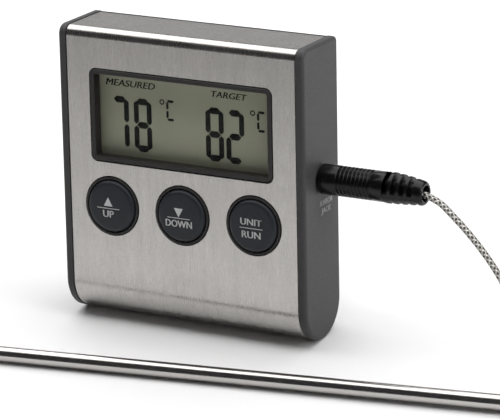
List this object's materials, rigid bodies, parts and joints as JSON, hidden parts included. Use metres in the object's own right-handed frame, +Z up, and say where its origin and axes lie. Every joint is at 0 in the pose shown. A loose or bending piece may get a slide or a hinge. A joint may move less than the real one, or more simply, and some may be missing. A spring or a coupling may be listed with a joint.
{
  "type": "meat thermometer",
  "caption": "Digital probe thermometer: leaning steel-fronted case with display and round buttons on a fold-out stand, and a steel probe on a braided cable.",
  "frame": {"origin": "middle of the footprint of the case, its open stand and the probe, at table height", "axes": "+X to the right as the display is read, and along the probe from its point to its cable; the display faces -Y, leaning back; +Z up"},
  "size_m": [0.1828, 0.0788, 0.0722],
  "materials": {
    "brushed_steel": "brushed along the wrap, satin",
    "case_plastic": "fine sparkle texture, semi-matt",
    "black_plastic": "moulded, semi-gloss",
    "button_cap": "soft-touch, with pad-printed white marks",
    "window": "clear moulded plastic, polished",
    "liquid_crystal": "grey-green reflective liquid crystal with dark segments",
    "zebra_rubber": "layered conductive rubber",
    "board": "green solder mask",
    "epoxy": "black encapsulant",
    "nickel": "nickel plate",
    "cell_wrap": "printed shrink wrap",
    "bright_steel": "turned and polished along its length",
    "steel_braid": "woven stainless braid"
  },
  "bodies": {
    "case": {"steel_cover": "brushed_steel", "front_housing": "case_plastic", "rear_cover": "case_plastic", "right_side_cap": "case_plastic", "left_side_cap": "case_plastic", "display_bezel": "black_plastic", "display_window": "window", "lcd_panel": "liquid_crystal", "upper_zebra_strip": "zebra_rubber", "lower_zebra_strip": "zebra_rubber", "minute_switch": "black_plastic", "second_switch": "black_plastic", "unit_switch": "black_plastic", "circuit_board": "board", "controller_chip": "epoxy", "piezo_buzzer": "black_plastic", "clock_crystal": "nickel", "board_screw_1": "nickel", "board_screw_2": "nickel", "board_screw_3": "nickel", "board_screw_4": "nickel", "case_screw_1": "nickel", "case_screw_2": "nickel", "case_screw_3": "nickel", "case_screw_4": "nickel", "battery_cell": "cell_wrap", "battery_spring": "nickel", "battery_plate": "nickel", "left_magnet": "nickel", "right_magnet": "nickel", "jack_socket": "black_plastic"},
    "minute_button": {"minute_button": "button_cap"},
    "second_button": {"second_button": "button_cap"},
    "unit_button": {"unit_button": "button_cap"},
    "battery_door": {"battery_door": "case_plastic"},
    "stand": {"stand_flap": "case_plastic"},
    "probe_lead": {"plug_pin": "nickel", "plug_body": "black_plastic", "strain_relief": "black_plastic", "cable_run": "steel_braid", "cable_tail": "steel_braid", "cable_coil": "steel_braid", "cable_tie": "black_plastic", "probe_shaft": "bright_steel", "probe_ferrule": "bright_steel", "sensor_bead": "epoxy"}
  },
  "joints": [
    {"name": "minute_press", "type": "slide", "parent": "case", "child": "minute_button", "axis": [0, 0.9848, -0.1736], "range_m": [0, 0.0005], "stiffness_N_per_m": 3000, "springref_m": -0.0001},
    {"name": "second_press", "type": "slide", "parent": "case", "child": "second_button", "axis": [0, 0.9848, -0.1736], "range_m": [0, 0.0005], "stiffness_N_per_m": 3000, "springref_m": -0.0001},
    {"name": "unit_press", "type": "slide", "parent": "case", "child": "unit_button", "axis": [0, 0.9848, -0.1736], "range_m": [0, 0.0005], "stiffness_N_per_m": 3000, "springref_m": -0.0001},
    {"name": "battery_door_hinge", "type": "hinge", "parent": "case", "child": "battery_door", "pos_m": [-0.03054, 0.00579, 0.00667], "axis": [-1, 0, 0], "range_deg": [0, 85]},
    {"name": "stand_hinge", "type": "hinge", "parent": "case", "child": "stand", "pos_m": [-0.03054, 0.00838, 0.02264], "axis": [1, 0, 0], "range_deg": [0, 116.6]},
    {"name": "plug_slide", "type": "slide", "parent": "case", "child": "probe_lead", "axis": [1, 0, 0], "range_m": [0, 0.012]}
  ]
}
